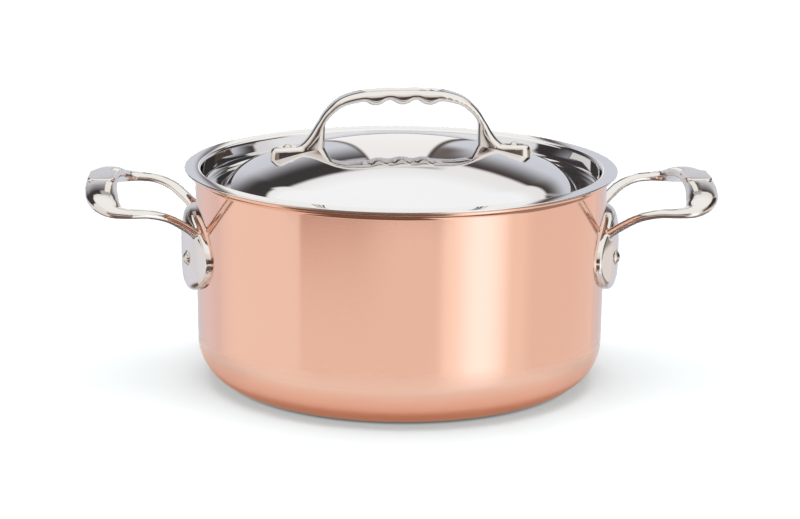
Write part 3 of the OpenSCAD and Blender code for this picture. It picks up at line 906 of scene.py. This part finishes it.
def floor_shader(tree, shader):
    """The floor as the camera and metal near it see it, and a window on the studio for other metal."""
    path = tree.nodes.new("ShaderNodeLightPath")
    to_camera, to_metal = path.outputs["Is Camera Ray"], path.outputs["Is Glossy Ray"]
    x, y, _ = axes(tree, "Object")
    far = compute(tree, "SQRT", compute(tree, "ADD", compute(tree, "POWER", x, 2.0),
                                        compute(tree, "POWER", y, 2.0)))
    # The glow rises from nothing at the pot's base, which paints a dark contact shadow on the floor there
    glow = compute(tree, "MULTIPLY", to_camera, remap(tree, far, *FLOOR_PAINTED_CONTACT_SHADOW_EDGE, 0.0, FLOOR_GLOW))
    direct = compute(tree, "LESS_THAN", path.outputs["Diffuse Depth"], 1.0)
    # Painted glow on the floor as metal mirrors it, warm beside the pot as painted copper bounce light
    mirror_painted_glow = compute(tree, "MULTIPLY", compute(tree, "MULTIPLY", to_metal, direct), MIRROR_PAINTED_GLOW)
    painted_bounce = compute(tree, "MULTIPLY", to_metal, remap(tree, far, *MIRROR_PAINTED_BOUNCE_END, 1.0, 0.0))
    join(tree, mixed(tree, painted_bounce, FLOOR_GLOW_COLOUR, MIRROR_PAINTED_BOUNCE_COLOUR), shader.inputs["Emission Color"])
    join(tree, compute(tree, "ADD", glow, mirror_painted_glow), shader.inputs["Emission Strength"])
    clear = compute(tree, "SUBTRACT", 1.0, near(tree, far, MIRROR_R, MIRROR_FADE))
    distant = remap(tree, path.outputs["Ray Length"], *MIRROR_REACH, 0.0, 1.0)
    unseen = compute(tree, "MULTIPLY", compute(tree, "MAXIMUM", clear, distant), to_metal)
    beyond = compute(tree, "SUBTRACT", 1.0, near(tree, far, ROOM_R, ROOM_FADE))
    room = compute(tree, "MULTIPLY", beyond, near_azimuth(tree, azimuth_of(tree, x, y), *ROOM_AZIMUTH))
    window = tree.nodes.new("ShaderNodeBsdfTransparent")
    dark = tree.nodes.new("ShaderNodeEmission")
    dark.inputs["Color"].default_value = ROOM_COLOUR
    outside = mixed_shader(tree, room, window.outputs["BSDF"], dark.outputs["Emission"])
    return mixed_shader(tree, unseen, shader.outputs["BSDF"], outside)


def make_floor():
    """A pale floor. Only metal close to it mirrors it, and the rest mirrors the studio."""
    mesh = bpy.data.meshes.new("floor")
    corners = [(-1, -1), (1, -1), (1, 1), (-1, 1)]
    mesh.from_pydata([(x * FLOOR_HALF, y * FLOOR_HALF, 0) for x, y in corners], [], [(0, 1, 2, 3)])
    floor = bpy.data.objects.new("floor", mesh)
    bpy.context.scene.collection.objects.link(floor)
    material, tree, shader = node_material("floor_white")
    shader.inputs["Base Color"].default_value = FLOOR_COLOUR
    shader.inputs["Roughness"].default_value = 1.0
    shader.inputs["Specular IOR Level"].default_value = 0.0
    join(tree, floor_shader(tree, shader), tree.nodes["Material Output"].inputs["Surface"])
    mesh.materials.append(material)


def studio_colour(tree, x, y, z):
    """What metal sees in a direction: the sky's ramp, with the studio's panels painted over it."""
    azimuth = azimuth_of(tree, x, y)
    elevation = compute(tree, "DEGREES", compute(tree, "ARCSINE", z))
    stops = [((angle + 90) / 180, colour) for angle, colour in SKY_STOPS]
    colour = colour_ramp(tree, remap(tree, elevation, -90.0, 90.0, 0.0, 1.0), stops)
    for middle, half, soft, height, half_height, soft_height, panel in STUDIO.values():
        wide = near_azimuth(tree, azimuth, middle, half, soft)
        high = near(tree, compute(tree, "SUBTRACT", elevation, height), half_height, soft_height)
        colour = mixed(tree, compute(tree, "MULTIPLY", wide, high), colour, (*panel, 1))
    return colour, elevation


def make_world():
    """The studio for metal, soft light from overhead for the floor, and plain white for the camera."""
    world = bpy.data.worlds.new("world")
    bpy.context.scene.world = world
    world.use_nodes = True
    world.cycles.sampling_method = "NONE"
    tree = world.node_tree
    path = tree.nodes.new("ShaderNodeLightPath")
    colour, elevation = studio_colour(tree, *axes(tree, "Generated"))
    ceiling = remap(tree, elevation, CEILING_EDGE - CEILING_SOFT, CEILING_EDGE + CEILING_SOFT,
                    0.0, CEILING_STRENGTH, "SMOOTHSTEP")
    light = mixed(tree, path.outputs["Is Diffuse Ray"], colour, ceiling)
    seen = mixed(tree, path.outputs["Is Camera Ray"], light, WHITE)
    join(tree, seen, tree.nodes["Background"].inputs["Color"])


make_camera()
make_floor()
make_world()
bpy.context.scene.view_settings.view_transform = "Standard"

copper = metal("copper", colours=((0.89, 0.54, 0.41), (0.91, 0.57, 0.44)), rough=(0.07, 0.12),
               relief_height=0.000004, grain_scale=500, stretch=SPUN)
lid_steel = metal("lid_steel", colours=((0.82, 0.82, 0.83), (0.85, 0.85, 0.86)), rough=(0.02, 0.04),
                  relief_height=0.000001, grain_scale=300)
lining_steel = metal("lining_steel", colours=((0.70, 0.70, 0.70), (0.76, 0.76, 0.76)), rough=(0.14, 0.22),
                     relief_height=0.000002, grain_scale=300, stretch=SPUN)
rivet_steel = metal("rivet_steel", colours=((0.70, 0.65, 0.60), (0.76, 0.71, 0.66)), rough=(0.10, 0.18),
                    relief_height=0.00001, grain_scale=300)
cast_steel = metal("cast_steel", colours=((0.78, 0.75, 0.71), (0.82, 0.79, 0.76)), rough=(0.04, 0.09),
                   relief_height=0.00003, grain_scale=120)

make_turned("copper_pot", pot_layer(0, COPPER_T), "pot", copper, "copper_shell")
make_turned("lining", pot_layer(COPPER_T, LINING_T), "pot", lining_steel, "steel_lining")
make_turned("lid_sheet", lid_section(), "lid", lid_steel, "lid_disc")
for side_name, side_turn in SIDE_TURNS.items():
    make_loop_handle(side_name, side_turn)
make_arch_handle()
for side_name, front_flank in (("right", -1), ("left", 1)):
    make_rivet(f"{side_name}_front", side_rivet(front_flank), SIDE_TURNS[side_name], "pot")
    make_rivet(f"{side_name}_back", side_rivet(-front_flank), SIDE_TURNS[side_name], "pot")
for side_name, foot_side in (("right", 1), ("left", -1)):
    make_rivet(f"lid_{side_name}", lid_rivet(foot_side), LID_TURN, "lid")
